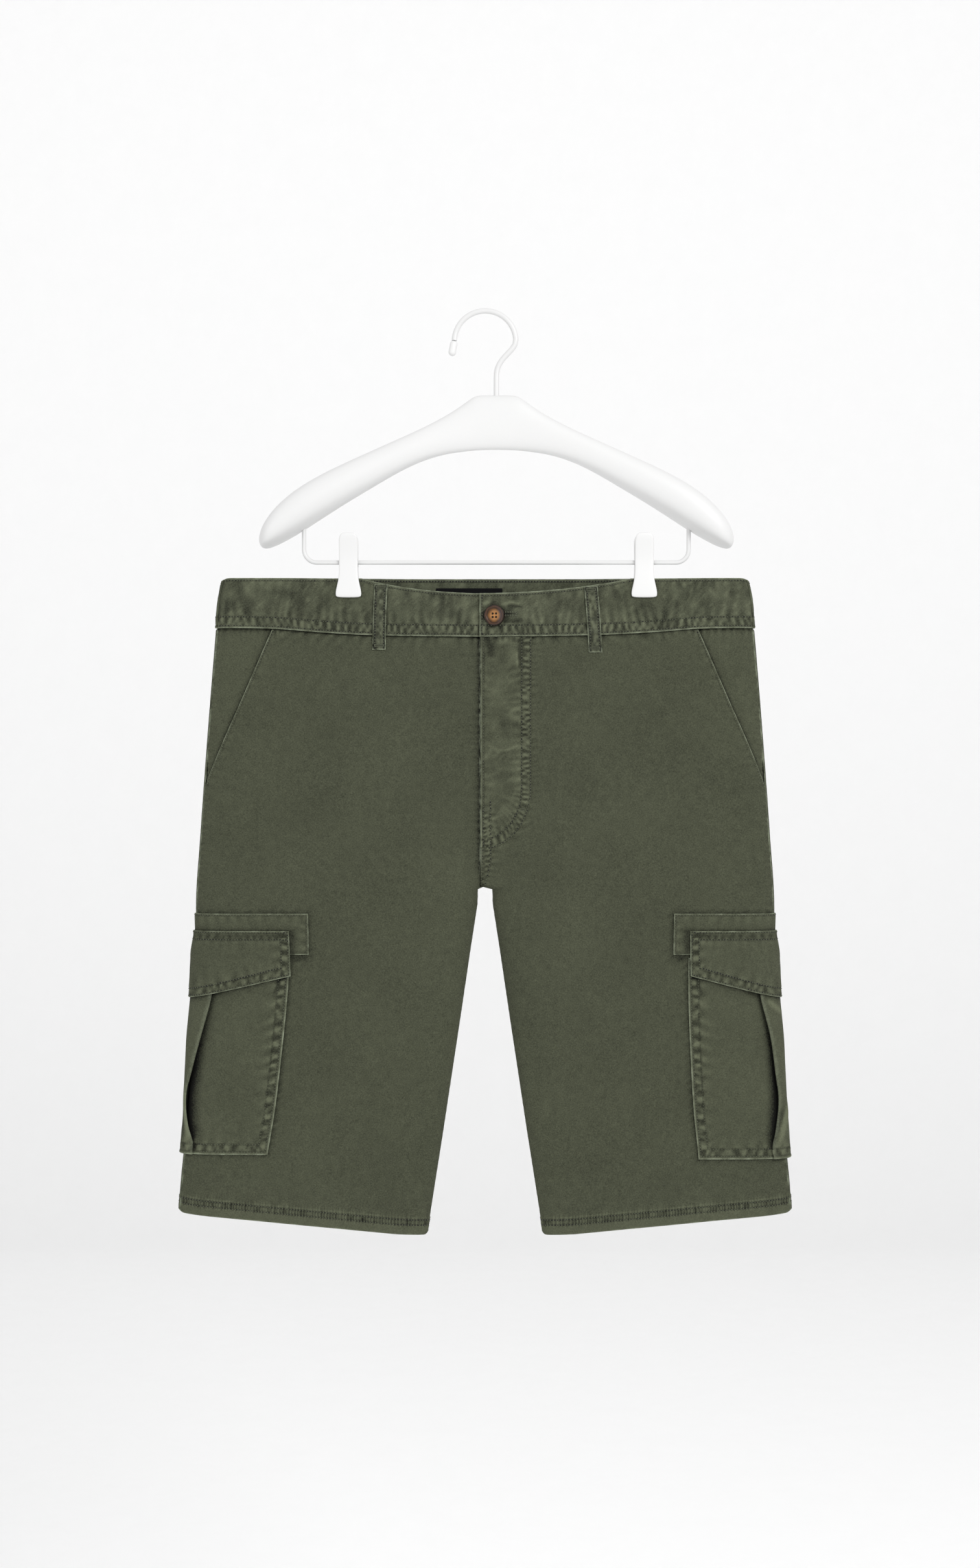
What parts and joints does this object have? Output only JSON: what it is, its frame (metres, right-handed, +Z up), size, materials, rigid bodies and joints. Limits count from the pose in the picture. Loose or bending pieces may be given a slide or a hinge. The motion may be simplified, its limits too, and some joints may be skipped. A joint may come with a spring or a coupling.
{
  "type": "cargo shorts on a clip hanger",
  "caption": "Knee-length olive twill cargo shorts with slanted hip pockets and pleated flap pockets on the legs, held by the waistband in the clips of a white hanger.",
  "frame": {"origin": "inside of the crown of the hanger's hook, where a rail or peg carries it", "axes": "+Z up, the front of the shorts faces -Y, +X to the right of someone who looks at the front (the wearer's left)"},
  "size_m": [0.5678, 0.0475, 0.8577],
  "materials": {
    "cloth": "washed matt cotton twill, olive green, worn paler at the seam edges",
    "label": "plain black woven tape",
    "button": "polished horn-like brown with a dark rim",
    "hanger": "white satin lacquer",
    "wire": "white coated steel wire, satin",
    "plastic": "white, smooth"
  },
  "bodies": {
    "root": {"back_left": "cloth", "back_right": "cloth", "belt_loop_back_centre": "cloth", "belt_loop_back_left": "cloth", "belt_loop_back_right": "cloth", "belt_loop_front_left": "cloth", "belt_loop_front_right": "cloth", "button": "button", "cargo_bag_left": "cloth", "cargo_bag_right": "cloth", "cargo_flap_left": "cloth", "cargo_flap_right": "cloth", "cargo_patch_left": "cloth", "cargo_patch_right": "cloth", "clip_back_left": "plastic", "clip_back_right": "plastic", "clip_front_left": "plastic", "clip_front_right": "plastic", "fly_placket": "cloth", "front_left": "cloth", "front_right": "cloth", "hanger_body": "hanger", "hanger_hook": "wire", "hip_facing_left": "cloth", "hip_facing_right": "cloth", "hook_sleeve": "plastic", "label": "label", "trouser_bar": "wire", "waistband_back": "cloth", "waistband_front_left": "cloth", "waistband_front_right": "cloth"}
  },
  "joints": []
}
